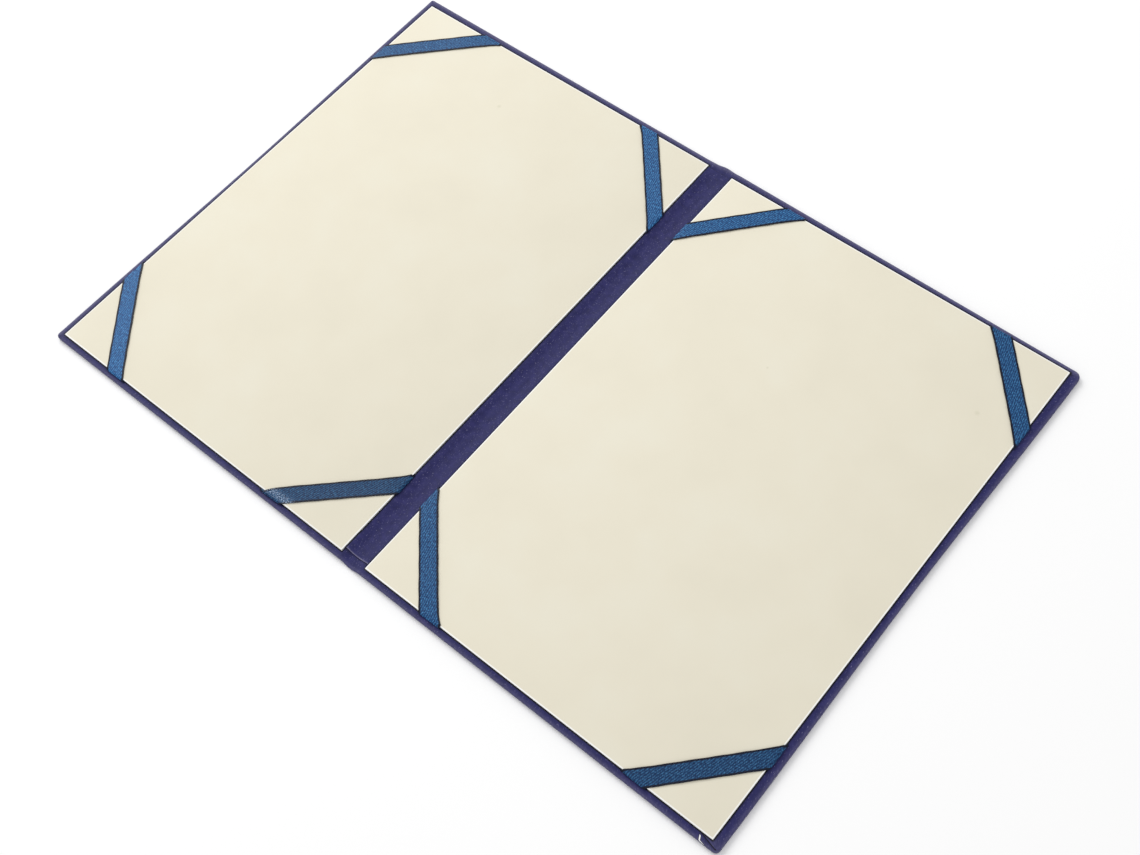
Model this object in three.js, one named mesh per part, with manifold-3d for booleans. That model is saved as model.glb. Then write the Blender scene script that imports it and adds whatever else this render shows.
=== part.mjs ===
// A diploma cover that lies open: two cloth-covered boards joined by a soft cloth spine. Each board is
// lined with a cream card, and a ribbon lies over each corner of the card to hold a sheet.
//
// Millimetres. +X runs across the open cover, with the front cover at -X and the back cover at +X. +Y runs
// along the spine to the head, and +Z is up. The origin is under the middle of the spine, on the surface
// that the cover lies on.

import * as THREE from 'three';
import { mergeVertices } from 'three/addons/utils/BufferGeometryUtils.js';
import Module from 'manifold-3d';

const wasm = await Module();
wasm.setup();

// Sheets and boards
const cardWidth = 215.2;
const cardHeight = 305;
const cardThickness = 1;
const boardThickness = 2;
const clothThickness = 0.4;

// The border of cloth that shows round a card
const endBorder = 4.1; // at the head and the tail
const frontForeBorder = 3.4;
const backForeBorder = 4.3;
const backCornerBulge = 1.5; // the back cover's folded corners stand out this much past its fore edge
const cornerRadius = 1;
const cardSetback = 1.4; // from a board's spine edge to its card
const turnIn = 15; // how wide the cloth is folded in round a cover

// The spine
const closedRoom = 2; // between the ribbons of the two covers when they are closed
const hingeRoom = 0.4; // how far a closing board passes over the cloth of the spine
const hingeGap = 0.15; // on each side of a hinge line
const stripReach = 16; // how far the hinge strip is glued onto each board
const stripLength = 301.6;
const stripShift = 1.1; // the strip sits this much towards the head

// The ribbons
const ribbonWidth = 9.8;
const ribbonThickness = 0.4;
const tailLength = 9; // the end that is glued under the card
const fitRoom = 0.3; // beside what is sunk into the underside of a card

// The middle of a ribbon crosses the head or tail edge of the card, and its side edge, at about these
// distances from the card's corner. Each was laid by hand, so each lies a little off them.
const ribbonAlongEnd = 45;
const ribbonAlongSide = 48;
const ribbons = [
  { cover: 'front', end: 'head', edge: 'fore', offEnd: 4.4, offSide: -0.7 },
  { cover: 'front', end: 'tail', edge: 'fore', offEnd: -2.7, offSide: 3.3 },
  { cover: 'front', end: 'head', edge: 'spine', offEnd: -2.4, offSide: 1.6 },
  { cover: 'front', end: 'tail', edge: 'spine', offEnd: 4.3, offSide: -2.3 },
  { cover: 'back', end: 'head', edge: 'spine', offEnd: -1.9, offSide: -1.4 },
  { cover: 'back', end: 'tail', edge: 'spine', offEnd: -1.9, offSide: -0.4 },
  { cover: 'back', end: 'tail', edge: 'fore', offEnd: -1.2, offSide: -0.9 },
  { cover: 'back', end: 'head', edge: 'fore', offEnd: -5, offSide: -1.8 },
];

// Heights above the hinge lines, which run between the cover cloth and the hinge strip
const turnInTop = boardThickness + clothThickness;
const cardTop = turnInTop + cardThickness;
const ribbonTop = cardTop + ribbonThickness;
const hingeX = ribbonTop + closedRoom / 2; // from the middle of the spine to each hinge line

// Distances out from a hinge line, towards the fore edge of its cover
const boardNear = 4 * clothThickness + hingeRoom;
const cardNear = boardNear + cardSetback;
const cardFar = cardNear + cardWidth;

// Distances from the middle of the spine's length, towards the head or the tail
const cardEnd = cardHeight / 2;
const coverEnd = cardEnd + endBorder;
const boardEnd = coverEnd - clothThickness;
const turnInEnd = coverEnd - turnIn;
const stripHead = stripShift + stripLength / 2;
const stripTail = stripShift - stripLength / 2;

const foldRadius = 1.5 * clothThickness; // where the cover cloth goes round a board's edge
const beyond = 5; // how far a cutting solid reaches past what it cuts

const covers = {
  front: { side: -1, foreBorder: frontForeBorder, bulge: 0 },
  back: { side: 1, foreBorder: backForeBorder, bulge: backCornerBulge },
};

// Closed solids

// An extruded geometry runs along Z. This lays it along an axis, with its two ends exactly at the places
// given. The outline's own two axes are Y and Z along X, X and Z along Y, and X and Y along Z.
function layAlong(geometry, axis, from, to) {
  geometry.computeBoundingBox();
  const { min, max } = geometry.boundingBox;
  const points = geometry.attributes.position;
  for (let i = 0; i < points.count; i += 1) {
    const a = points.getX(i);
    const b = points.getY(i);
    const share = (points.getZ(i) - min.z) / (max.z - min.z);
    const place = from * (1 - share) + to * share;
    if (axis === 'x') points.setXYZ(i, place, a, b);
    if (axis === 'y') points.setXYZ(i, a, place, b);
    if (axis === 'z') points.setXYZ(i, a, b, place);
  }
  return geometry;
}

function solidFrom(geometry) {
  const bare = geometry.clone();
  bare.deleteAttribute('normal');
  bare.deleteAttribute('uv');
  const merged = mergeVertices(bare);
  return new wasm.Manifold(
    new wasm.Mesh({
      numProp: 3,
      vertProperties: merged.attributes.position.array,
      triVerts: Uint32Array.from(merged.index.array),
    }),
  );
}

function prism(outline, axis, from, to) {
  const shape = new THREE.Shape(outline.map(([a, b]) => new THREE.Vector2(a, b)));
  const geometry = new THREE.ExtrudeGeometry(shape, { depth: 1, bevelEnabled: false });
  // Laying an outline along Y turns its faces over, so its ends change places.
  const [first, last] = axis === 'y' ? [to, from] : [from, to];
  return solidFrom(layAlong(geometry, axis, first, last));
}

function block(x, y, z) {
  const outline = [
    [Math.min(...x), y[0]],
    [Math.max(...x), y[0]],
    [Math.max(...x), y[1]],
    [Math.min(...x), y[1]],
  ];
  return prism(outline, 'z', z[0], z[1]);
}

function geometryOf(solid) {
  const mesh = solid.getMesh();
  const geometry = new THREE.BufferGeometry();
  geometry.setAttribute('position', new THREE.BufferAttribute(mesh.vertProperties, 3));
  geometry.setIndex(new THREE.BufferAttribute(mesh.triVerts, 1));
  geometry.computeVertexNormals();
  return geometry;
}

// Materials

const leatherette = () => new THREE.MeshStandardMaterial({ color: 0x3f3d66, roughness: 0.7 });
const greyboard = () => new THREE.MeshStandardMaterial({ color: 0x8a8478, roughness: 0.95 });
const creamCard = () => new THREE.MeshStandardMaterial({ color: 0xece4cf, roughness: 0.85 });
const wovenTape = () => new THREE.MeshStandardMaterial({ color: 0x2f6199, roughness: 0.6 });

function piece(name, solid, material) {
  material.flatShading = true;
  const mesh = new THREE.Mesh(geometryOf(solid), material);
  mesh.name = name;
  return mesh;
}

// Where a layer of cloth near a hinge line has to end, so that the cover can fold up through a right angle
function setback(layerTop) {
  return hingeGap + Math.max(0, layerTop);
}

// A cloth that lies on the board, goes down over its spine edge and ends in a foot at the hinge line. It is
// the first layer with a lift of 0, and lies on another cloth with a lift of one thickness.
function overSpineEdge(lift) {
  const wall = boardNear - lift;
  const reach = boardNear + stripReach;
  const foot = setback(lift + clothThickness);
  return [
    [foot, lift],
    [wall, lift],
    [wall, boardThickness + lift],
    [reach, boardThickness + lift],
    [reach, boardThickness + lift + clothThickness],
    [wall - clothThickness, boardThickness + lift + clothThickness],
    [wall - clothThickness, lift + clothThickness],
    [foot, lift + clothThickness],
  ];
}

// The pieces of one cover, in a group whose origin is on its hinge line

function boardFar({ foreBorder }) {
  return cardFar + foreBorder - clothThickness;
}

function board(cover) {
  const { side } = cover;
  const x = [side * boardNear, side * boardFar(cover)];
  return block(x, [-boardEnd, boardEnd], [0, boardThickness]);
}

// The cloth's outer form, before the board and the inside are cut out of it. The fore edge is a shallow
// hollow between two corners that stand out and are rounder, the fuller their folds are.
function wrappedForm({ side, bulge, foreBorder }) {
  const foreEdge = cardFar + foreBorder;
  const radius = cornerRadius + bulge;
  const cornerOut = foreEdge + bulge - radius;
  const cornerEnd = coverEnd - radius;
  const path = new THREE.Path();
  path.moveTo(-beyond, -coverEnd);
  path.lineTo(cornerOut, -coverEnd);
  path.absarc(cornerOut, -cornerEnd, radius, -Math.PI / 2, 0);
  path.quadraticCurveTo(foreEdge - bulge, 0, foreEdge + bulge, cornerEnd);
  path.absarc(cornerOut, cornerEnd, radius, 0, Math.PI / 2);
  path.lineTo(-beyond, coverEnd);
  const outline = path.getPoints(6).map((point) => new THREE.Vector2(side * point.x, point.y));
  const geometry = new THREE.ExtrudeGeometry(new THREE.Shape(outline), {
    depth: turnInTop + clothThickness - 2 * foldRadius,
    bevelThickness: foldRadius,
    bevelSize: foldRadius,
    bevelOffset: -foldRadius,
    bevelSegments: 3,
  });
  return solidFrom(layAlong(geometry, 'z', -clothThickness, turnInTop));
}

function coverCloth(cover) {
  const { side, foreBorder } = cover;
  const insideOfTurnIn = cardFar + foreBorder - turnIn;
  const window = block(
    [side * -beyond, side * insideOfTurnIn],
    [-turnInEnd, turnInEnd],
    [0, turnInTop + beyond],
  );
  // At the spine the cloth steps down from the board to the hinge line, as the hinge strip does.
  const stepDown = prism(
    [
      [-2 * beyond, -clothThickness - beyond],
      [setback(0), -clothThickness - beyond],
      [setback(0), 0],
      [setback(clothThickness), 0],
      [setback(clothThickness), clothThickness],
      [boardNear - clothThickness, clothThickness],
      [boardNear - clothThickness, turnInTop + beyond],
      [-2 * beyond, turnInTop + beyond],
    ].map(([out, height]) => [side * out, height]),
    'y',
    -coverEnd - beyond,
    coverEnd + beyond,
  );
  return wrappedForm(cover).subtract(board(cover)).subtract(window).subtract(stepDown);
}

// The parts of the hinge strip near the head and the tail lie on the cloth's turn-in, one layer higher.
function hingeStrip(outlineAt) {
  const middle = prism(outlineAt(0), 'y', -turnInEnd, turnInEnd);
  const overlap = turnInEnd - clothThickness;
  const head = prism(outlineAt(clothThickness), 'y', overlap, stripHead);
  const tail = prism(outlineAt(clothThickness), 'y', stripTail, -overlap);
  return middle.add(head).add(tail);
}

function coverHingeStrip({ side }) {
  return hingeStrip((lift) => overSpineEdge(lift).map(([out, height]) => [side * out, height]));
}

// A ribbon is drawn in the corner of its card: p runs along the head or tail edge and q along the side
// edge, both from the corner towards the middle of the card.
function fromCorner(side, { end, edge }) {
  const endSign = end === 'head' ? 1 : -1;
  const out = (p) => (edge === 'fore' ? cardFar - p : cardNear + p);
  return ([p, q]) => [side * out(p), endSign * (cardEnd - q)];
}

// A ribbon's tail turns back under the card at the angle at which it came to the edge.
function tailOutlines({ offEnd, offSide }, room) {
  const alongEnd = ribbonAlongEnd + offEnd;
  const alongSide = ribbonAlongSide + offSide;
  const length = Math.hypot(alongEnd, alongSide);
  const onEnd = (ribbonWidth / 2) * (length / alongSide) + room;
  const onSide = (ribbonWidth / 2) * (length / alongEnd) + room;
  const depth = tailLength + room;
  const drift = depth * (alongEnd / alongSide);
  const fall = depth * (alongSide / alongEnd);
  const lap = -ribbonThickness - room;
  return {
    underEnd: [
      [alongEnd - onEnd, lap],
      [alongEnd + onEnd, lap],
      [alongEnd + onEnd, 0],
      [alongEnd + onEnd + drift, depth],
      [alongEnd - onEnd + drift, depth],
      [alongEnd - onEnd, 0],
    ],
    underSide: [
      [lap, alongSide - onSide],
      [lap, alongSide + onSide],
      [0, alongSide + onSide],
      [depth, alongSide + onSide + fall],
      [depth, alongSide - onSide + fall],
      [0, alongSide - onSide],
    ],
  };
}

function ribbonSolid(side, ribbon) {
  const place = fromCorner(side, ribbon);
  const { underEnd, underSide } = tailOutlines(ribbon, 0);
  const [endNear, endFar] = [underEnd[0][0], underEnd[1][0]];
  const [sideNear, sideFar] = [underSide[0][1], underSide[1][1]];
  const lap = -ribbonThickness;
  const overCorner = [
    [endNear, 0],
    [endNear, lap],
    [endFar, lap],
    [endFar, 0],
    [0, sideFar],
    [lap, sideFar],
    [lap, sideNear],
    [0, sideNear],
  ];
  const endWrap = [
    [endNear, lap],
    [endFar, lap],
    [endFar, 0],
    [endNear, 0],
  ];
  const sideWrap = [
    [lap, sideNear],
    [lap, sideFar],
    [0, sideFar],
    [0, sideNear],
  ];
  const underTop = turnInTop + ribbonThickness;
  return prism(overCorner.map(place), 'z', cardTop, ribbonTop)
    .add(prism(endWrap.map(place), 'z', turnInTop, ribbonTop))
    .add(prism(sideWrap.map(place), 'z', turnInTop, ribbonTop))
    .add(prism(underEnd.map(place), 'z', turnInTop, underTop))
    .add(prism(underSide.map(place), 'z', turnInTop, underTop));
}

// The card is pressed down over the ribbons' tails and the ends of the hinge strip, so its underside is
// hollow where they lie.
function liningCard({ side }, itsRibbons) {
  let card = block([side * cardNear, side * cardFar], [-cardEnd, cardEnd], [turnInTop, cardTop]);
  for (const ribbon of itsRibbons) {
    const place = fromCorner(side, ribbon);
    for (const outline of Object.values(tailOutlines(ribbon, fitRoom))) {
      card = card.subtract(prism(outline.map(place), 'z', turnInTop, turnInTop + ribbonThickness));
    }
  }
  const stripX = [0, side * (boardNear + stripReach + fitRoom)];
  const stripZ = [turnInTop, turnInTop + clothThickness];
  const overlap = turnInEnd - clothThickness - fitRoom;
  const head = block(stripX, [overlap, stripHead + fitRoom], stripZ);
  const tail = block(stripX, [stripTail - fitRoom, -overlap], stripZ);
  return card.subtract(head).subtract(tail);
}

function coverGroup(name) {
  const cover = covers[name];
  const itsRibbons = ribbons.filter((ribbon) => ribbon.cover === name);
  const group = new THREE.Group();
  group.position.set(cover.side * hingeX, 0, clothThickness);
  group.add(piece(`${name}_cover_cloth`, coverCloth(cover), leatherette()));
  group.add(piece(`${name}_board`, board(cover), greyboard()));
  group.add(piece(`${name}_hinge_strip`, coverHingeStrip(cover), leatherette()));
  group.add(piece(`${name}_lining_card`, liningCard(cover, itsRibbons), creamCard()));
  for (const ribbon of itsRibbons) {
    const ribbonName = `${name}_${ribbon.end}_${ribbon.edge}_ribbon`;
    group.add(piece(ribbonName, ribbonSolid(cover.side, ribbon), wovenTape()));
  }
  return group;
}

// The soft spine between the two hinge lines

function acrossSpine(layerTop) {
  const half = hingeX - setback(layerTop);
  return [-half, half];
}

function spineCloth() {
  const corner = clothThickness * Math.SQRT1_2;
  const outside = prism(
    [
      [-coverEnd, 0],
      [-coverEnd + clothThickness - corner, -corner],
      [-coverEnd + clothThickness, -clothThickness],
      [coverEnd - clothThickness, -clothThickness],
      [coverEnd - clothThickness + corner, -corner],
      [coverEnd, 0],
    ],
    'x',
    ...acrossSpine(0),
  );
  const foldedIn = (end) =>
    prism(
      [
        [end * turnInEnd, 0],
        [end * coverEnd, 0],
        [end * (coverEnd - clothThickness + corner), corner],
        [end * (coverEnd - clothThickness), clothThickness],
        [end * turnInEnd, clothThickness],
      ],
      'x',
      ...acrossSpine(clothThickness),
    );
  return outside.add(foldedIn(1)).add(foldedIn(-1));
}

function spineHingeStrip() {
  return hingeStrip((lift) => {
    const [left, right] = acrossSpine(lift + clothThickness);
    return [
      [left, lift],
      [right, lift],
      [right, lift + clothThickness],
      [left, lift + clothThickness],
    ];
  });
}

function spineGroup() {
  const group = new THREE.Group();
  group.position.set(0, 0, clothThickness);
  group.add(piece('spine_cloth', spineCloth(), leatherette()));
  group.add(piece('spine_hinge_strip', spineHingeStrip(), leatherette()));
  return group;
}

const diplomaCover = new THREE.Group();
diplomaCover.add(coverGroup('front'), spineGroup(), coverGroup('back'));

export default diplomaCover;
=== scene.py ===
"""A diploma cover that lies open: two cloth-covered boards, a soft spine, cream cards and corner ribbons.

The lengths below are in millimetres, and are turned to metres where a mesh is made. +X runs across the
open cover to the back cover, +Y runs along the spine to the head, and +Z is up. The origin is under the
middle of the spine. u is how far out from there a place is on either cover, and end is 1 at the head and
-1 at the tail.
"""

import math

import bmesh
import bpy
from mathutils import Matrix, Vector


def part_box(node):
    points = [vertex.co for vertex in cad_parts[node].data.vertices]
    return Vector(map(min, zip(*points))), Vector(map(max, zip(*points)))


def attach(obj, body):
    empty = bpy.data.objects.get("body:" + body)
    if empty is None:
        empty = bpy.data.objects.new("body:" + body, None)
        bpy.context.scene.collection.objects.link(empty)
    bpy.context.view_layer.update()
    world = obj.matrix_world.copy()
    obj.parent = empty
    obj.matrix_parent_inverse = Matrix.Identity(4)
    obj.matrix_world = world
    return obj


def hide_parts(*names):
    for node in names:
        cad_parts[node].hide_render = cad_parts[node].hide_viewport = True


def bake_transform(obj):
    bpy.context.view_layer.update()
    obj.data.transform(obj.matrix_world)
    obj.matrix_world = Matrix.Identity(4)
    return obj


MM = 0.001

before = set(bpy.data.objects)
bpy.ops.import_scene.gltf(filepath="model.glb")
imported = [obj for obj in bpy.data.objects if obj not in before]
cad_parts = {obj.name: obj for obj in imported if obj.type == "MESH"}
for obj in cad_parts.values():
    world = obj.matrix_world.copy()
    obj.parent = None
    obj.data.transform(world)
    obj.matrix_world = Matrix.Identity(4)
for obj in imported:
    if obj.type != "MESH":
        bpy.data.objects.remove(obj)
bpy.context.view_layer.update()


def box_mm(node):
    low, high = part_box(node)
    return low / MM, high / MM


# Places that the solids give

CARD_LOW, CARD_HIGH = box_mm("back_lining_card")
CARD_NEAR, CARD_FAR, CARD_END = CARD_LOW.x, CARD_HIGH.x, CARD_HIGH.y
CARD_UNDER, CARD_TOP = CARD_LOW.z, CARD_HIGH.z
STRIP_LOW, STRIP_HIGH = box_mm("back_hinge_strip")
STRIP_TAIL, STRIP_HEAD, STRIP_REACH = STRIP_LOW.y, STRIP_HIGH.y, STRIP_HIGH.x
BOARD_TOP = box_mm("back_board")[1].z
COVER_END = box_mm("spine_cloth")[1].y

# Cloth

CLOTH = 0.4  # its thickness
TURN_IN = 15.0
WRAP = BOARD_TOP + CLOTH  # the height of a wrapped board
FLAT_FORE, FLAT_END = 223.0, 152.2  # how far its flat outside reaches
UNDER = 3.2  # how far in from the edge the fold begins
FOLD_RADIUS = 0.75  # where it goes round a board's edge
VALLEY_FLOOR, VALLEY_TOP = 1.6, 7.6  # the u at which it starts and ends its climb out of the spine
SHARP = 50  # edges sharper than this many degrees stay sharp

SLACK = {1: 1.7, -1: 1.0}  # how high its folds stand off the spine at the spine's two ends
SLACK_FULL, SLACK_GONE = 6, 19  # how far in from the edge they do so fully, and where they lie flat
# How far these folds bulge out, about which x, and over what half width
PUFF = {1: (0.85, 1.5, 6.8), -1: (0.5, 0.8, 7.5)}

# How much paler an edge is, by wear and painted highlight, how far in that reaches, and how wide the
# painted shade is beside its card. The head and the front cover's fore edge face the light, so they get
# more painted highlight, and the cloth dips more beside their cards, so their painted shade is wider.
CREVICE = 1.0
FACING_LIGHT = (1.5, 1.9, 1.7)
AWAY_FROM_LIGHT = (0.7, 1.3, CREVICE)

# Each cover's outline, as it was made: its fore edge in the middle, how much further out its corners are,
# its head and tail edges at the spine and at the fore edge, and how round its corners are
COVERS = {
    "front": {
        "side": -1,
        "fore": 226.4,
        "fore_out": {1: 1.2, -1: 1.2},
        "edge": {1: (156.6, 157.6), -1: (156.2, 155.9)},
        "round": {1: 1.3, -1: 2.2},
    },
    "back": {
        "side": 1,
        "fore": 227.45,
        "fore_out": {1: 1.7, -1: 1.2},
        "edge": {1: (157.6, 155.7), -1: (156.2, 156.45)},
        "round": {1: 4.0, -1: 2.6},
    },
}
FORE_TURNS = 140  # the y at which a fore edge has reached its corner's line
SPINE_TURNS = 12  # the u at which an end's edge has left the spine's for its cover's

# At the back cover's tail corner: where the nick and the slanting seam lie on the flat cloth, and the
# place and direction of the fore edge's cloth where it lies over the tail's
NICK = ((214.2, -159.7), (213.2, -157.8), (215.4, -157.1))
SEAM = ((213.9, -161.4), (223.0, -158.4))
OVERLAP_PLACE, OVERLAP_RUN = (215.7, -152.6), (12.2, -3.5)
CORNER_REACH = 18  # how far from a corner its folds can lie
OVERLAP_RISE, MITRE_RISE, CRUMPLE = 0.38, 0.2, 0.18  # how high the corners' folds stand

# Hinge strip

STRIP_FLOOR = 1.75  # it spans the gap between the boards, and sags to this height
STRIP_BOW = 0.4  # how far its tail end bows out in the middle
STRIP_LIFT = 0.25  # how far that end has come up
STRIP_SHADE = 0.9  # how far it throws shade on the cloth beside its ends
LANDING, LANDING_SPAN = 138, 12  # from this y on it comes up on to the cover cloth's folds, over this way

# Boards

BOARD_GAP = 0.15  # between a board's edge and its cloth

# Each ribbon: where its middle crosses the head or tail edge and the side edge of its card, from the
# corner, how much its inner edge flares out at each of the two, and a factor on its colour, painted light
# and shade for how it catches the light
RIBBONS = {
    "front_head_fore_ribbon": (49.4, 47.3, 0.9, 0.4, 1.08),
    "front_tail_fore_ribbon": (42.3, 51.3, 0.3, 0.5, 1.45),
    "front_head_spine_ribbon": (42.6, 49.6, 0.8, 0.4, 1.28),
    "front_tail_spine_ribbon": (49.3, 45.7, -1.1, 0.9, 0.62),
    "back_head_spine_ribbon": (43.1, 46.6, 0.9, 0.4, 1.2),
    "back_tail_spine_ribbon": (43.1, 47.6, 1.1, 0.7, 1.02),
    "back_tail_fore_ribbon": (43.8, 47.1, 0.7, 0.5, 0.7),
    "back_head_fore_ribbon": (40.0, 46.2, 0.6, 0.5, 0.96),
}
RIBBON_WIDTH = 9.8
RIBBON_THICK = 0.4
RIBBON_BULGE = 1.1  # how far it stands out where it goes round the card's edge
RIBBON_TAIL = 9.0  # how far it goes under the card
RIBBON_LIFT = 0.16  # how far it stands off the card in the middle
RIPPLE, EDGE_WAVE = 0.05, 0.06  # how far it ripples up and down, and its edges in and out
SELVAGE = 0.95
FLARE_LENGTH, FLARE_LENGTH_UNDER = 4.5, 2.0  # how fast a flare fades on the card, and past its edge
FRAYED_RIBBON = "front_tail_spine_ribbon"
FRAY_PLACE, FRAY_REACH = 3.5, 5  # how far from its end it is most frayed, and how far to each side


# Small helpers


def ease(share):
    """Goes from 0 to 1 with share, and starts and ends gently."""
    share = min(1.0, max(0.0, share))
    return share * share * (3 - 2 * share)


def hump(x, middle, half_width):
    """1 in the middle, falling smoothly to 0 at half_width to each side."""
    share = min(1.0, abs(x - middle) / half_width)
    return math.cos(share * math.pi / 2) ** 2


def mix(a, b, share):
    return a + (b - a) * share


def linear(hex_colour):
    """An sRGB hex colour as linear red, green, blue and alpha."""
    parts = [int(hex_colour[i : i + 2], 16) / 255 for i in (1, 3, 5)]
    return [p / 12.92 if p <= 0.04045 else ((p + 0.055) / 1.055) ** 2.4 for p in parts] + [1.0]


def add_node(tree, kind, inputs=None, output=0, stops=(), **settings):
    """Adds a node and gives one of its outputs. An input gets a value, or a link from the output of
    another node. stops are a colour ramp's places and colours."""
    node = tree.nodes.new("ShaderNode" + kind)
    for key, value in settings.items():
        setattr(node, key, value)
    for key, value in (inputs or {}).items():
        if isinstance(value, bpy.types.NodeSocket):
            tree.links.new(value, node.inputs[key])
        else:
            node.inputs[key].default_value = value
    if stops:
        elements = node.color_ramp.elements
        for element, (place, colour) in zip(elements, (stops[0], stops[-1])):
            element.position, element.color = place, linear(colour)
        for place, colour in stops[1:-1]:
            elements.new(place).color = linear(colour)
    return node.outputs[output] if node.outputs else None


def layered(tree, colour, layers):
    """Lays tones over a colour, one after the other, each as strongly as its mask says."""
    for mask, tone in layers:
        colour = add_node(tree, "MixRGB", {"Fac": mask, "Color1": colour, "Color2": linear(tone)})
    return colour


def new_material(name):
    material = bpy.data.materials.new(name)
    material.use_nodes = True
    material.node_tree.nodes.clear()
    return material, material.node_tree


def finish_material(material, surface):
    shader = add_node(material.node_tree, "BsdfPrincipled", surface)
    add_node(material.node_tree, "OutputMaterial", {"Surface": shader})
    return material


def line_distance(tree, place, start, stop):
    """How far a place on a flat sheet is from the straight line between two places on it."""
    start, stop = Vector((*start, 0)) * MM, Vector((*stop, 0)) * MM
    along = stop - start
    part = along / along.length_squared
    from_start = add_node(tree, "VectorMath", {0: place, 1: start}, operation="SUBTRACT")
    share = add_node(
        tree, "VectorMath", {0: from_start, 1: part}, output="Value", operation="DOT_PRODUCT"
    )
    share = add_node(tree, "Clamp", {0: share})
    nearest = add_node(tree, "VectorMath", {0: along, "Scale": share}, operation="SCALE")
    return add_node(
        tree, "VectorMath", {0: from_start, 1: nearest}, output="Value", operation="DISTANCE"
    )


# Materials

WAVE = 2 * math.pi / 20  # the period of a wave texture with scale 1


def bookcloth():
    """Coated bookcloth, navy with a violet cast: fine threads under a soft acrylic skin, so it is dull,
    with a faint sheen, a mottle a few millimetres wide and stray lighter threads."""
    material, tree = new_material("navy bookcloth")
    flat = add_node(tree, "UVMap", uv_map="cloth")
    mottle = add_node(
        tree, "TexNoise", {"Vector": flat, "Scale": 1 / (4 * MM), "Detail": 3.0, "Roughness": 0.6}
    )
    stops = ((0.3, "#1d1d4d"), (0.5, "#252558"), (0.72, "#2f2e63"))
    cloth = add_node(tree, "ValToRGB", {0: mottle}, stops=stops)
    # Stray threads: longer along the spine than across it.
    stray_size = (1 / (0.45 * MM), 1 / (1.3 * MM), 1.0)
    stretched = add_node(tree, "Mapping", {"Vector": flat, "Scale": stray_size})
    stray = add_node(tree, "TexNoise", {"Vector": stretched, "Scale": 1.0, "Detail": 1.0})
    stray_mask = add_node(
        tree, "MapRange", {"Value": stray, "From Min": 0.64, "From Max": 0.75, "To Max": 0.5}
    )
    # Folds are a little paler and greyer: partly wear, partly painted highlight where they catch the
    # light.
    wear_and_glint = add_node(tree, "Attribute", output="Fac", attribute_name="wear_and_highlight")
    patchy = add_node(tree, "TexNoise", {"Vector": flat, "Scale": 1 / (1.2 * MM), "Detail": 3.0})
    patchy = add_node(tree, "Math", {0: patchy, 1: 0.9}, operation="MULTIPLY")
    wear_and_glint_mask = add_node(tree, "Math", {0: wear_and_glint, 1: patchy}, operation="MULTIPLY")
    # Painted shade: almost black in the crevice beside a card, and a little beside the strip's cut ends.
    shade = add_node(tree, "Attribute", output="Fac", attribute_name="shaded")
    layers = [(stray_mask, "#8a86a8"), (wear_and_glint_mask, "#726f8c"), (shade, "#08070f")]
    # One corner has a seam drawn as a line of painted shade, and a nick that bares the cloth's white back
    # between dark lips. Each tone is full up to its first distance from the line, and gone at its second.
    from_seam = line_distance(tree, flat, *SEAM)
    one, other = line_distance(tree, flat, *NICK[:2]), line_distance(tree, flat, *NICK[1:])
    from_nick = add_node(tree, "Math", {0: one, 1: other}, operation="MINIMUM")
    for away, tone, full, gone in (
        (from_seam, "#0b0a14", 0.15, 0.45),
        (from_nick, "#12111c", 0.4, 0.75),
        (from_nick, "#f8f8fa", 0.18, 0.4),
    ):
        span = {"Value": away, "From Min": gone * MM, "From Max": full * MM}
        layers.append((add_node(tree, "MapRange", span), tone))
    # Threads lie 0.5 mm apart on such cloth. They are drawn 0.8 mm apart, or they wouldn't show.
    bands = {
        "Vector": flat,
        "Scale": WAVE / (0.8 * MM),
        "Distortion": 1.2,
        "Detail": 1.0,
        "Detail Scale": 1.5,
    }
    across, along = (
        add_node(tree, "TexWave", bands, output="Fac", bands_direction=way) for way in ("X", "Y")
    )
    weave = add_node(tree, "Math", {0: across, 1: along}, operation="ADD")
    weave = add_node(tree, "Math", {0: weave, 1: 0.5}, operation="MULTIPLY")
    height = add_node(tree, "Math", {0: weave, 1: stray}, operation="ADD")
    surface = {
        "Base Color": layered(tree, cloth, layers),
        "Roughness": add_node(tree, "MapRange", {"Value": mottle, "To Min": 0.5, "To Max": 0.68}),
        "Specular IOR Level": 0.2,
        "Sheen Weight": 0.02,
        "Sheen Roughness": 0.5,
        "Normal": add_node(
            tree, "Bump", {"Height": height, "Strength": 0.35, "Distance": 0.1 * MM}
        ),
    }
    return finish_material(material, surface)


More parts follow.
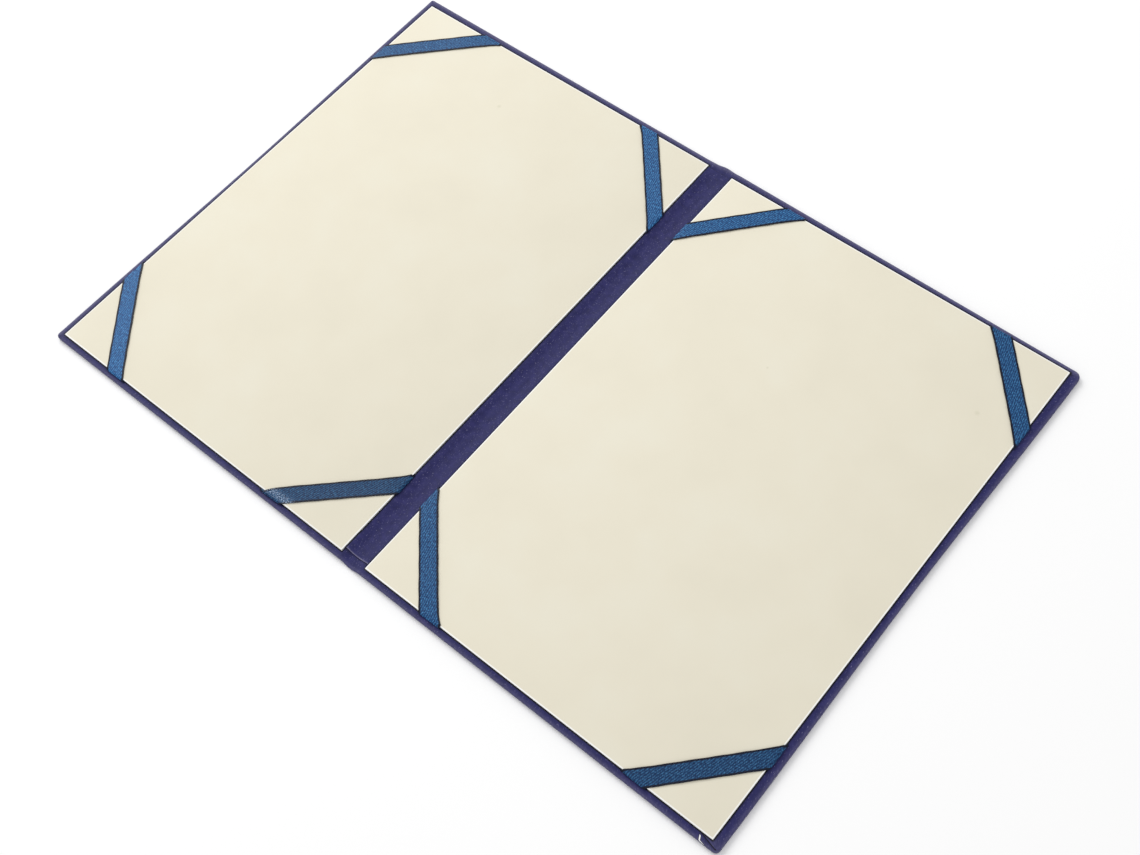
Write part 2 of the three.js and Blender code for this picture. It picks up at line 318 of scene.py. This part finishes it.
def cream_card(name, side, marks):
    """Uncoated cream card, pressed smooth: matt, with a faint cloudiness and a fibre bump that barely
    shows. Cutting left its rim white, and the white band painted along the rim is partly painted
    highlight. marks are small faint stains, each a place and a radius."""
    material, tree = new_material(name)
    spot = add_node(tree, "TexCoord", output="Object")
    cloud = add_node(
        tree, "TexNoise", {"Vector": spot, "Scale": 1 / (45 * MM), "Detail": 3.0, "Roughness": 0.55}
    )
    stops = ((0.3, "#e4decb"), (0.5, "#e6e0cd"), (0.7, "#e7e2d0"))
    card = add_node(tree, "ValToRGB", {0: cloud}, stops=stops)
    layers = []
    for x, y, radius in marks:
        middle = (x * MM, y * MM, CARD_TOP * MM)
        away = add_node(
            tree, "VectorMath", {0: spot, 1: middle}, output="Value", operation="DISTANCE"
        )
        span = {"Value": away, "From Min": radius * MM, "From Max": 0.2 * radius * MM, "To Max": 0.45}
        layers.append((add_node(tree, "MapRange", span), "#cfcbb2"))
    # How far a place is past the card's sides and past its ends; less than 0 inside them
    past = []
    for axis, middle, half in (
        ("X", side * (CARD_NEAR + CARD_FAR) / 2, (CARD_FAR - CARD_NEAR) / 2),
        ("Y", 0, CARD_END),
    ):
        off = add_node(tree, "SeparateXYZ", {0: spot}, output=axis)
        off = add_node(tree, "Math", {0: off, 1: middle * MM}, operation="SUBTRACT")
        off = add_node(tree, "Math", {0: off}, operation="ABSOLUTE")
        past.append(add_node(tree, "Math", {0: off, 1: half * MM}, operation="SUBTRACT"))
    past_outline = add_node(tree, "Math", {0: past[0], 1: past[1]}, operation="MAXIMUM")
    # A white band just inside the outline: the card's white cut rim, and painted highlight along its edge.
    span = {"Value": past_outline, "From Min": -0.75 * MM, "From Max": -0.45 * MM}
    layers.append((add_node(tree, "MapRange", span), "#fdfdfb"))
    fibre = add_node(tree, "TexNoise", {"Vector": spot, "Scale": 1 / (0.7 * MM), "Detail": 4.0})
    surface = {
        "Base Color": layered(tree, card, layers),
        "Roughness": 0.85,
        "Specular IOR Level": 0.25,
        "Normal": add_node(
            tree, "Bump", {"Height": fibre, "Strength": 0.12, "Distance": 0.05 * MM}
        ),
    }
    return finish_material(material, surface)


def twill_tape():
    """Woven polyester tape with a twill face and dark selvages: the slanting ribs catch the light, so it
    has a soft satin gloss."""
    material, tree = new_material("twill tape")
    flat = add_node(tree, "UVMap", uv_map="tape")
    # Ribs lie 0.5 mm apart on such tape. They are drawn 1.1 mm apart, or they wouldn't show.
    slanted = add_node(tree, "Mapping", {"Vector": flat, "Rotation": (0, 0, math.radians(62))})
    rib_bands = {
        "Vector": slanted,
        "Scale": WAVE / (1.1 * MM),
        "Distortion": 1.6,
        "Detail": 2.0,
        "Detail Scale": 1.5,
    }
    pick_bands = {"Vector": flat, "Scale": WAVE / (0.9 * MM), "Distortion": 3.0, "Detail": 1.0}
    ribs = add_node(tree, "TexWave", rib_bands, output="Fac")
    picks = add_node(tree, "TexWave", pick_bands, output="Fac")
    picks = add_node(tree, "MapRange", {"Value": picks, "To Min": 0.55, "To Max": 1.0})
    weave = add_node(tree, "Math", {0: ribs, 1: picks}, operation="MULTIPLY")
    # Some threads lie a little prouder, and show as short slanting flecks.
    fleck_size = (1 / (0.55 * MM), 1 / (1.4 * MM), 1.0)
    stretched = add_node(tree, "Mapping", {"Vector": slanted, "Scale": fleck_size})
    flecks = add_node(
        tree, "TexNoise", {"Vector": stretched, "Scale": 1.0, "Detail": 2.0, "Roughness": 0.6}
    )
    weave_tone = add_node(tree, "Math", {0: weave, 1: 0.2}, operation="MULTIPLY")
    fleck_tone = add_node(tree, "Math", {0: flecks, 1: 0.85}, operation="MULTIPLY")
    tone = add_node(tree, "Math", {0: weave_tone, 1: fleck_tone}, operation="ADD")
    stops = ((0.32, "#0a294f"), (0.5, "#164373"), (0.7, "#4583b4"))
    face = add_node(tree, "ValToRGB", {0: tone}, stops=stops)
    # Each ribbon's colour is scaled by its own factor: painted light and shade for how it catches the
    # light.
    painted_light_scale = add_node(tree, "Attribute", output="Fac", attribute_name="painted_light_scale")
    face = add_node(tree, "VectorMath", {0: face, "Scale": painted_light_scale}, operation="SCALE")
    # The selvages are dark, and end a little raggedly.
    across = add_node(tree, "SeparateXYZ", {0: flat}, output="Y")
    across = add_node(tree, "Math", {0: across}, operation="ABSOLUTE")
    ragged = add_node(tree, "TexNoise", {"Vector": flat, "Scale": 1 / (0.9 * MM), "Detail": 1.0})
    ragged = add_node(tree, "Math", {0: ragged, 1: 0.3 * MM}, operation="MULTIPLY")
    ragged = add_node(tree, "Math", {0: across, 1: ragged}, operation="ADD")
    border = RIBBON_WIDTH / 2 - SELVAGE
    span = {"Value": ragged, "From Min": border * MM, "From Max": (border + 0.3) * MM}
    selvage = add_node(tree, "MapRange", span)
    # One ribbon is frayed near an end, where broken threads show almost white.
    frayed = add_node(tree, "Attribute", output="Fac", attribute_name="frayed")
    broken = add_node(tree, "TexNoise", {"Vector": flat, "Scale": 1 / (0.6 * MM), "Detail": 1.0})
    broken = add_node(tree, "MapRange", {"Value": broken, "From Min": 0.5, "From Max": 0.66})
    broken = add_node(tree, "Math", {0: broken, 1: frayed}, operation="MULTIPLY")
    surface = {
        "Base Color": layered(tree, face, [(selvage, "#0a1024"), (broken, "#a9bfdc")]),
        "Roughness": 0.4,
        "Specular IOR Level": 0.18,
        "Normal": add_node(
            tree, "Bump", {"Height": weave, "Strength": 0.6, "Distance": 0.12 * MM}
        ),
    }
    return finish_material(material, surface)


def speckled(name, grain, stops, roughness, detail=2.0, bump=0.0, specular=0.5):
    """A matt material whose tone wanders with a noise of the given grain."""
    material, tree = new_material(name)
    spot = add_node(tree, "TexCoord", output="Object")
    noise = add_node(tree, "TexNoise", {"Vector": spot, "Scale": 1 / (grain * MM), "Detail": detail})
    surface = {
        "Base Color": add_node(tree, "ValToRGB", {0: noise}, stops=stops),
        "Roughness": roughness,
        "Specular IOR Level": specular,
    }
    if bump:
        relief = {"Height": noise, "Strength": bump, "Distance": 0.1 * MM}
        surface["Normal"] = add_node(tree, "Bump", relief)
    return finish_material(material, surface)


# Meshes


def new_piece(name, points, faces, materials, uvs, map_name, tones):
    """A mesh from points in millimetres. uvs holds one flat place for each point of each face, and tones
    holds lists with one number for each point."""
    mesh = bpy.data.meshes.new(name)
    mesh.from_pydata([Vector(p) * MM for p in points], [], faces)
    layer = mesh.uv_layers.new(name=map_name)
    for loop, place in zip(layer.data, uvs):
        loop.uv = (place[0] * MM, place[1] * MM)
    for tone, values in tones.items():
        mesh.attributes.new(tone, "FLOAT", "POINT").data.foreach_set("value", values)
    for material in materials:
        mesh.materials.append(material)
    piece = bpy.data.objects.new(name, mesh)
    bpy.context.scene.collection.objects.link(piece)
    return piece


def add_face(faces, uvs, corners, places, flip):
    """Adds a face and the flat places of its corners, turned over where flip is true."""
    step = -1 if flip else 1
    faces.append(corners[::step])
    uvs.extend(places[::step])


def activate(piece):
    bpy.ops.object.select_all(action="DESELECT")
    piece.select_set(True)
    bpy.context.view_layer.objects.active = piece


def thicken(piece, thickness, degrees, **settings):
    """Gives a sheet its thickness, and smooths all but its sharp edges."""
    activate(piece)
    modifier = piece.modifiers.new("Solidify", "SOLIDIFY")
    modifier.thickness = thickness * MM
    for key, value in settings.items():
        setattr(modifier, key, value)
    bpy.ops.object.modifier_apply(modifier=modifier.name)
    smooth_by_angle(piece, degrees)


def smooth_by_angle(piece, degrees):
    activate(piece)
    bpy.ops.object.shade_smooth_by_angle(angle=math.radians(degrees))


# The cover cloth, made as two halves that meet in the middle of the spine


def climb(u):
    """How far the cloth has come up from the spine to a board, from 0 to 1."""
    return ease((u - VALLEY_FLOOR) / (VALLEY_TOP - VALLEY_FLOOR))


def fore_edge(cover, y):
    return cover["fore"] + cover["fore_out"][1 if y > 0 else -1] * ease(abs(y) / FORE_TURNS)


def end_edge(cover, u, end):
    at_spine, at_fore = cover["edge"][end]
    both = (COVERS["front"]["edge"][end][0] + COVERS["back"]["edge"][end][0]) / 2
    edge = mix(at_spine, at_fore, u / CARD_FAR)
    size, middle, half_width = PUFF[end]
    bulge = size * hump(cover["side"] * u, middle, half_width)
    return mix(both, edge, ease(u / SPINE_TURNS)) + bulge


def crevice(u, y, width=CREVICE):
    """How deep in the painted shade beside a card a place is, from 0 to 1."""
    away = math.hypot(max(0, u - CARD_FAR, CARD_NEAR - u), max(0, abs(y) - CARD_END))
    return ease((width - away) / (0.6 * width))


def profile(thick, slack, border):
    """The cloth's outer side, from under a cover, round its edge and in over it: the distance in from the
    edge, the height, and the length of cloth since the first of these places. The card lies a border's
    width in from the edge."""
    top = thick + slack
    r = min(FOLD_RADIUS, top / 2 - 0.05)
    arc = [math.radians(a) for a in (0, 22.5, 45, 67.5, 90)]
    low = [(UNDER, 0), (r + 0.4, 0)] + [(r - r * math.sin(a), r - r * math.cos(a)) for a in arc]
    high = [(r - r * math.sin(a), top - r + r * math.cos(a)) for a in reversed(arc)]
    inwards = [mix(r + 0.2, border - CREVICE, share) for share in (0, 0.25, 0.5, 0.75, 1)]
    inwards += [border - 0.7 * CREVICE, border - 0.4 * CREVICE, border, border + 0.6]
    inwards += [6.0, 6.6, 7.2, 9, 11, 13, TURN_IN]
    fade = SLACK_GONE - SLACK_FULL
    places = low + high + [(d, thick + slack * ease((SLACK_GONE - d) / fade)) for d in inwards]
    lengths = [0.0]
    for (d0, z0), (d1, z1) in zip(places, places[1:]):
        lengths.append(lengths[-1] + math.hypot(d1 - d0, z1 - z0))
    return [(d, z, length) for (d, z), length in zip(places, lengths)]


# Where the cloth has its points, closest in the spine and near the corners
NEAR_CORNER = [0, 0.3, 0.6, 1, 1.4, 1.9, 2.4, 3, 3.6, 4.3, 5, 5.8, 6.6]
NEAR_CORNER += [7.5, 8.5, 9.5, 10.5, 11.5, 12.5, 13.5]
ACROSS = [0.6 * i for i in range(15)]
ACROSS += [10, 12, 15, 19, 22.8, 30, 40, 55, 70, 85, 100, 115, 130, 145, 160, 175, 185, 195, 203, 208]
ACROSS += [FLAT_FORE - a for a in reversed(NEAR_CORNER)]
HALF_ALONG = [FLAT_END - a for a in NEAR_CORNER] + [138, 133, 125, 115, 100, 85, 70, 55, 40, 25, 10]
ALONG = HALF_ALONG + [-y for y in reversed(HALF_ALONG)]


def corner_fold(cover, u, y):
    """How high the folded cloth stands at a corner, and how much paler it is there, by wear and painted
    highlight.
    """
    if cover["side"] > 0 and y < 0:
        # The fore edge's cloth lies over the tail's, and its edge runs slantwise to the corner.
        run = Vector(OVERLAP_RUN).normalized()
        place = Vector((u, y)) - Vector(OVERLAP_PLACE)
        above = run.x * place.y - run.y * place.x
        near = ease((place.x + 1.5) / 3) * ease(1 - above / 9)
        # On the overlapping side the cloth stands up a little and is paler: painted highlight on that
        # facet.
        step = OVERLAP_RISE * ease((above + 0.12) / 0.45) * near
        return step, 0.45 * near * ease((above + 0.1) / 0.4)
    from_end = COVER_END - abs(y)
    from_fore = cover["fore"] + 0.8 - u
    off_mitre = (from_end - from_fore) / math.sqrt(2)
    near = ease(1 - max(from_fore, from_end) / 7)
    step = MITRE_RISE * ease((off_mitre + 0.2) / 0.5) * near
    # At a corner the cloth is paler, by wear and by painted highlight on its folds. The back cover's head
    # corner is crumpled as well.
    if cover["side"] > 0:
        crumple = CRUMPLE * math.sin(2.1 * u + 1.0) * math.sin(1.7 * y) + CRUMPLE
        return step + crumple * near, 0.9 * near
    return step, 0.6 * near


def station(cover, kind, value, ring):
    """Where a station of the path round a cover lies on one ring of the profile, its place on the flat
    cloth, how much paler it is, by wear and painted highlight, and how dark it is, by painted shade."""
    at_fore = kind == "fore"
    end = {"head": 1, "tail": -1}.get(kind) or (1 if value > 0 else -1)
    if at_fore:
        u_flat, from_corner = FLAT_FORE, FLAT_END - abs(value)
        slack, border = 0, fore_edge(cover, value) - CARD_FAR
    else:
        u_flat, from_corner = value, FLAT_FORE - value
        slack, border = SLACK[end] * (1 - climb(value)), end_edge(cover, value, end) - CARD_END
    thick = 2 * CLOTH + (WRAP - 2 * CLOTH) * climb(u_flat)
    d, z, length = profile(thick, slack, border)[ring]
    u_edge = fore_edge(cover, value if at_fore else end * COVER_END) - d
    y_edge = end_edge(cover, u_flat, end) - d
    # The flat stations are stretched to the outline, the more so the nearer they are to a corner.
    if at_fore:
        u = u_edge
        y = end * (abs(value) + (y_edge - FLAT_END) * ease((abs(value) - 40) / 80))
        flat = (FLAT_FORE + length, value)
    else:
        u = value + (u_edge - FLAT_FORE) * ease((value - 100) / 90)
        y = end * y_edge
        flat = (value, end * (FLAT_END + length))
    radius = max(0.25, cover["round"][end] - d)
    if from_corner < radius:  # each of the corner's two sides takes half of its arc
        angle = math.pi / 4 * (1 - from_corner / radius)
        if not at_fore:
            angle = math.pi / 2 - angle
        u = u_edge - radius + radius * math.cos(angle)
        y = end * (y_edge - radius + radius * math.sin(angle))

    faces_light = kind == "head" or (at_fore and cover["side"] < 0)
    wear_and_glint, pale_reach, dark_width = FACING_LIGHT if faces_light else AWAY_FROM_LIGHT
    worn_and_lit = wear_and_glint * math.exp(-((d / pale_reach) ** 2)) if ring > 1 else 0.0
    # At the head, the fold over the spine is paler: painted highlight on it.
    if kind == "head":
        worn_and_lit = max(worn_and_lit, 0.5 * (1 - climb(u_flat)) * ease((4 - d) / 2))
    dark = 0.0
    if z > WRAP / 2:
        if from_corner < CORNER_REACH:
            raised, paler = corner_fold(cover, u, y)
            z += raised * ease((z - WRAP / 2) / (WRAP / 2))
            worn_and_lit = max(worn_and_lit, paler)
        # Beside a card the cloth is darkened: painted shade in the crevice.
        dark = crevice(u, y, dark_width)
    if ring > 1 and not at_fore:
        # The strip's cut end throws a little shade on the cloth beside it: painted shade in the cloth's
        # colour.
        past, depth = (STRIP_TAIL - y, 1.0) if kind == "tail" else (y - STRIP_HEAD, 0.5)
        dark = max(dark, depth * ease((past + STRIP_SHADE) / 0.6) * ease((STRIP_SHADE - past) / 0.8))
    return u, y, z, flat, worn_and_lit, dark


def cloth_half(name, cover, materials):
    side = cover["side"]
    path = [("head", u) for u in ACROSS]
    path += [("fore", y) for y in ALONG[1:-1]]
    path += [("tail", u) for u in reversed(ACROSS)]
    points, flats, wear_and_highlight, shaded = [], [], [], []

    def add(u, y, z, flat, worn_and_lit=0.0, dark=0.0):
        points.append((side * u, y, z))
        flats.append((side * flat[0], flat[1]))
        wear_and_highlight.append(worn_and_lit)
        shaded.append(dark)
        return len(points) - 1

    # The flat outside, and the rings that go on from its rim
    grid = [[add(u, y, 0, (u, y)) for y in ALONG] for u in ACROSS]
    rim = [column[0] for column in grid] + grid[-1][1:-1] + [column[-1] for column in reversed(grid)]
    rings = [rim]
    for ring in range(1, len(profile(WRAP, 0, 4))):
        rings.append([add(*station(cover, kind, value, ring)) for kind, value in path])

    faces, uvs = [], []
    for column, following in zip(grid, grid[1:]):
        for j in range(len(ALONG) - 1):
            corners = [column[j], following[j], following[j + 1], column[j + 1]]
            add_face(faces, uvs, corners, [flats[c] for c in corners], side < 0)
    for lower, upper in zip(rings, rings[1:]):
        for k in range(len(path) - 1):
            corners = [lower[k], upper[k], upper[k + 1], lower[k + 1]]
            places = [flats[c] for c in corners]
            if path[k][0] != path[k + 1][0]:
                # The cloth's corner belongs to an end. In the face beside it, on the fore edge, its flat
                # place is the fore edge's.
                turns_out = path[k + 1][0] == "fore"
                end = 1 if turns_out else -1
                for spot in (0, 1) if turns_out else (3, 2):
                    length = abs(flats[corners[spot]][1])
                    places[spot] = (side * (FLAT_FORE + length - FLAT_END), end * FLAT_END)
            add_face(faces, uvs, corners, places, side < 0)

    tones = {"wear_and_highlight": wear_and_highlight, "shaded": shaded}
    piece = new_piece(name, points, faces, materials, uvs, "cloth", tones)
    thicken(piece, CLOTH, SHARP, offset=-1.0, material_offset_rim=1)
    return piece


# The hinge strip, in two halves as well


def strip_height(x, y):
    """The top of the hinge strip. Near its ends it lies on the cover cloth's turn-in."""
    u = abs(x)
    over_turn_in = ease((abs(y) - (COVER_END - TURN_IN) + 3.8) / 4)
    on_fold = 2 * CLOTH + SLACK[1 if y > 0 else -1] + CLOTH + 0.05
    floor = mix(STRIP_FLOOR, on_fold, ease((abs(y) - LANDING) / LANDING_SPAN))
    # It wasn't pressed quite flat.
    wander = 0.07 * math.sin(y / 17 + 0.8) + 0.05 * math.sin(y / 7.3 + x / 2.2)
    return mix(floor, WRAP + CLOTH * over_turn_in, climb(u)) + wander * ease((CARD_NEAR - u) / 3)


def strip_half(name, side, materials):
    across = [0.5 * i for i in range(15)]
    across += [CARD_NEAR - CREVICE * (1 - 0.25 * i) for i in range(5)] + [10, 12, 15, 19, STRIP_REACH]
    from_tail = [0, 0.25, 0.5, 0.8, 1.5, 2.5] + [4 * i for i in range(1, 75)]
    from_tail += [299, STRIP_HEAD - STRIP_TAIL]
    points, flats, wear_and_highlight, shaded = [], [], [], []
    for along in from_tail:
        for u in across:
            x = side * u
            bow = STRIP_BOW * (1 - min(1.0, (u / CARD_NEAR)) ** 2) * ease(1 - along / 30)
            y = STRIP_TAIL + along - bow
            lift = STRIP_LIFT * ease(1 - along / 3) * ease((CARD_NEAR - u) / 2)
            points.append((x, y, strip_height(x, y) + lift))
            flats.append((x, y))
            wear_and_highlight.append(1.6 * ease((0.7 - along) / 0.4))
            # Beside a card the strip is darkened: painted shade in the crevice.
            shaded.append(crevice(u, y))
    width = len(across)
    faces, uvs = [], []
    for j in range(len(from_tail) - 1):
        for i in range(width - 1):
            a = j * width + i
            corners = [a, a + 1, a + width + 1, a + width]
            add_face(faces, uvs, corners, [flats[c] for c in corners], side < 0)
    tones = {"wear_and_highlight": wear_and_highlight, "shaded": shaded}
    piece = new_piece(name, points, faces, materials, uvs, "cloth", tones)
    thicken(piece, CLOTH, SHARP, offset=-1.0, material_offset_rim=1)
    return piece


# The lining cards and the boards


def edited_copy(name, node_name, materials):
    """A new piece that starts as one of the solids, ready in edit mode."""
    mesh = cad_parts[node_name].data.copy()
    mesh.materials.clear()
    for material in materials:
        mesh.materials.append(material)
    piece = bpy.data.objects.new(name, mesh)
    bpy.context.scene.collection.objects.link(piece)
    activate(piece)
    bpy.ops.object.mode_set(mode="EDIT")
    bpy.ops.mesh.select_all(action="SELECT")
    bpy.ops.mesh.remove_doubles(threshold=0.001 * MM)
    bpy.ops.mesh.dissolve_limited(angle_limit=math.radians(0.5))
    bpy.ops.mesh.select_mode(type="EDGE")
    return piece, mesh


def lining_card(name, node_name, materials):
    """The card, with its upper edges a little rounded by wear. Its face has the first material, and its
    edges have the second."""
    card, mesh = edited_copy(name, node_name, materials)
    bpy.ops.mesh.select_all(action="DESELECT")
    shape = bmesh.from_edit_mesh(mesh)
    for edge in shape.edges:
        edge.select_set(all(v.co.z > (CARD_TOP - 0.01) * MM for v in edge.verts))
    bmesh.update_edit_mesh(mesh)
    bpy.ops.mesh.bevel(offset=0.25 * MM, segments=3, affect="EDGES")
    shape = bmesh.from_edit_mesh(mesh)
    for face in shape.faces:
        face.material_index = 0 if face.normal.z > 0.95 else 1
    bmesh.update_edit_mesh(mesh)
    bpy.ops.object.mode_set(mode="OBJECT")
    smooth_by_angle(card, 35)
    return card


def fitted_board(name, node_name, cover, material):
    """The board, cut to lie just inside its cloth."""
    board, mesh = edited_copy(name, node_name, [material])
    shape = bmesh.from_edit_mesh(mesh)
    inside = CLOTH + BOARD_GAP
    for v in shape.verts:
        u, end = abs(v.co.x) / MM, 1 if v.co.y > 0 else -1
        if u > CARD_FAR / 2:
            u = cover["fore"] - inside
        v.co.x = cover["side"] * u * MM
        v.co.y = end * (end_edge(cover, u, end) - inside) * MM
    bmesh.update_edit_mesh(mesh)
    bpy.ops.mesh.select_all(action="SELECT")
    bpy.ops.mesh.bevel(offset=0.2 * MM, segments=2, affect="EDGES")
    bpy.ops.object.mode_set(mode="OBJECT")
    smooth_by_angle(board, 35)
    return board


# The ribbons

FOLD_RISE = (CARD_TOP - CARD_UNDER) / 2
FOLD_AROUND = math.pi * (FOLD_RISE + RIBBON_BULGE) / 2  # how long a ribbon's way round the card's edge is


def fold_profile(travel):
    """The ribbon's middle as it goes out over the card's edge, round it and back under the card: how far
    it is out past the edge, and its height, after so much travel past the edge."""
    top = CARD_TOP + RIBBON_THICK / 2
    under = CARD_UNDER + RIBBON_THICK / 2
    if travel <= 0:
        return travel, top
    if travel < FOLD_AROUND:
        angle = math.pi * travel / FOLD_AROUND
        return RIBBON_BULGE * math.sin(angle), (top + under) / 2 + FOLD_RISE * math.cos(angle)
    return FOLD_AROUND - travel, under


def ribbon_piece(name, material):
    """A ribbon is made in its card's corner: p runs from the corner along the head or tail edge, and q
    along the side edge. It gives the piece and the length of tape it takes."""
    cover_name, end_name, edge_name, _ = name.split("_")
    side = COVERS[cover_name]["side"]
    end = 1 if end_name == "head" else -1
    along_end, along_side, flare_end, flare_side, painted_light_scale = RIBBONS[name]
    length = math.hypot(along_end, along_side)
    step_p, step_q = -along_end / length, along_side / length
    half = RIBBON_WIDTH / 2
    lanes = [0, 1.1, 2.2, 3.4, half - SELVAGE, half - 0.3, half]
    lanes = [-lane for lane in reversed(lanes[1:])] + lanes
    past = [FOLD_AROUND * i / 8 for i in range(1, 9)]
    past += [FOLD_AROUND + 1.5, FOLD_AROUND + 4, FOLD_AROUND + RIBBON_TAIL]
    steps = [("end", t / step_q) for t in reversed(past)]
    steps += [("top", i / 34) for i in range(35)]
    steps += [("side", t / -step_p) for t in past]
    seed = sum(ord(c) for c in name)  # so that each ribbon ripples in its own way
    points, flats, frayed = [], [], []
    for lane in lanes:
        # Along its lane, the tape leaves the card's face at start and at stop.
        start, stop = -lane * along_end / along_side, length + lane * along_side / along_end
        inner = 0.5 + lane / RIBBON_WIDTH
        for kind, value in steps:
            fray = 0.0
            if kind == "top":
                s = mix(start, stop, value)
                from_end, from_side = s - start, stop - s
                lift = RIBBON_LIFT * ease(from_end / 9) * ease(from_side / 9)
                lift += RIPPLE * math.sin(s / 4.3 + seed) * ease(from_end / 5) * ease(from_side / 5)
                lift += RIPPLE * (lane / half) ** 2 * ease(min(from_end, from_side) / 4)
                z = CARD_TOP + RIBBON_THICK / 2 + lift
                flare = flare_end * math.exp(-from_end / FLARE_LENGTH)
                flare += flare_side * math.exp(-from_side / FLARE_LENGTH)
                edge_wave = math.sin(s / 1.9 + seed * lane) * (abs(lane) / half) ** 6
                off = inner * flare + EDGE_WAVE * edge_wave
                p = along_end + step_p * s + (lane + off) * step_q
                q = step_q * s - (lane + off) * step_p
                if name == FRAYED_RIBBON:
                    fray = hump(from_end, FRAY_PLACE, FRAY_REACH)
            elif kind == "end":
                s = start - value
                out, z = fold_profile(value * step_q)
                off = inner * flare_end * math.exp(-value / FLARE_LENGTH_UNDER)
                p = along_end + step_p * s + (lane + off) * step_q
                q = -out - off * step_p
            else:
                s = stop + value
                out, z = fold_profile(value * -step_p)
                off = inner * flare_side * math.exp(-value / FLARE_LENGTH_UNDER)
                p = -out + off * step_q
                q = step_q * s - (lane + off) * step_p
            x = CARD_FAR - p if edge_name == "fore" else CARD_NEAR + p
            points.append((side * x, end * (CARD_END - q), z))
            flats.append((s + seed, lane))
            frayed.append(fray)
    count = len(steps)
    faces, uvs = [], []
    flip = side * end * (1 if edge_name == "fore" else -1) < 0
    for i in range(len(lanes) - 1):
        for j in range(count - 1):
            a = i * count + j
            corners = [a, a + count, a + count + 1, a + 1]
            add_face(faces, uvs, corners, [flats[c] for c in corners], flip)
    tones = {"frayed": frayed, "painted_light_scale": [painted_light_scale] * len(points)}
    piece = new_piece(name + "_tape", points, faces, [material], uvs, "tape", tones)
    thicken(piece, RIBBON_THICK, 60, offset=0.0)
    return piece, length + 2 * (FOLD_AROUND + RIBBON_TAIL) / min(step_q, -step_p)


# Everything is made, and tied to what carries it

# Where bookcloth was cut, the pale cotton shows between its coating and the paper behind it.
cloth_edge = speckled("cut bookcloth edge", 0.8, ((0.35, "#6d6993"), (0.7, "#a5a1c2")), 0.9)
cloth_materials = [bookcloth(), cloth_edge]
tape = twill_tape()
# A card's core is whiter than its faces.
card_core = speckled("cut card edge", 0.5, ((0.3, "#f8f6ee"), (0.7, "#ffffff")), 0.9)
# Raw binder's board, pressed from waste paper: dull grey-brown with flecks.
board_stops = ((0.3, "#7d776c"), (0.6, "#918b7e"))
greyboard = speckled("greyboard", 1.5, board_stops, 0.95, detail=5.0, bump=0.3)

for cover_name, cover in COVERS.items():
    side = cover["side"]
    board = fitted_board(f"{cover_name}_cut_board", f"{cover_name}_board", cover, greyboard)
    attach(board, f"{cover_name}_cover")
    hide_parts(f"{cover_name}_board")

    cloth = cloth_half(f"{cover_name}_half_of_cover_cloth", cover, cloth_materials)
    strip = strip_half(f"{cover_name}_half_of_hinge_strip", side, cloth_materials)
    for piece in (cloth, strip):
        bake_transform(piece)
    if cover_name == "front":
        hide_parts("front_cover_cloth", "spine_cloth")
        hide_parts("front_hinge_strip", "spine_hinge_strip")
    else:
        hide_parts("back_cover_cloth")
        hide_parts("back_hinge_strip")

    marks = [(-135, 115, 1.6)] if side < 0 else [(198.9, 103.6, 1.8), (98.3, 62, 0.9)]
    face = cream_card(f"{cover_name} cream card", side, marks)
    card = lining_card(f"{cover_name}_lining_card_face", f"{cover_name}_lining_card", [face, card_core])
    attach(card, f"{cover_name}_cover")
    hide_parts(f"{cover_name}_lining_card")

for name in RIBBONS:
    ribbon, cut_length = ribbon_piece(name, tape)
    cover_name = name.split("_")[0]
    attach(ribbon, f"{cover_name}_cover")
    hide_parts(name)

# The studio


def make_floor():
    """A matt white sweep."""
    bpy.ops.object.select_all(action="DESELECT")
    bpy.ops.mesh.primitive_plane_add(size=8.0, location=(0, 0, 0))
    floor = bpy.context.object
    floor.name = "studio_floor"
    stops = ((0.0, "#fcfcfc"), (1.0, "#fefefe"))
    floor.data.materials.append(speckled("white sweep", 1000 / 3, stops, 1.0, specular=0.0))


def area_light(name, place, size, watts):
    """A square light that faces the origin."""
    place = Vector(place)
    bpy.ops.object.light_add(type="AREA", location=place)
    light = bpy.context.object
    light.name = name
    light.data.size = size
    light.data.energy = watts
    light.rotation_mode = "QUATERNION"
    light.rotation_quaternion = (-place).to_track_quat("-Z", "Y")


def make_camera():
    """The photograph's camera, solved from the eight corners of the two cards."""
    right = Vector((0.768663, 0.635393, -0.073706))
    down = Vector((0.52566, -0.693127, -0.493211))
    forward = Vector((-0.36447, 0.340369, -0.866781))
    place = (0.31772, -0.28939, 0.6641 + CARD_TOP * MM)
    focal_in_pixels, width_in_pixels, sensor = 1478.44, 1140, 36.0
    turn = Matrix((right, -down, -forward)).transposed().to_4x4()
    bpy.ops.object.camera_add()
    camera = bpy.context.object
    camera.matrix_world = Matrix.Translation(place) @ turn
    camera.data.sensor_width = sensor
    camera.data.lens = focal_in_pixels * sensor / width_in_pixels
    camera.data.clip_start = 0.01
    bpy.context.scene.camera = camera


make_floor()
make_camera()
area_light("big soft light", (-1.6, 0.6, 1.5), size=1.3, watts=26)
area_light("fill light", (0.8, -0.8, 1.4), size=1.4, watts=2)

world = bpy.data.worlds.new("white studio")
world.use_nodes = True
background = world.node_tree.nodes["Background"]
background.inputs["Color"].default_value = (1, 1, 1, 1)
background.inputs["Strength"].default_value = 0.71
bpy.context.scene.world = world
bpy.context.scene.view_settings.view_transform = "Standard"
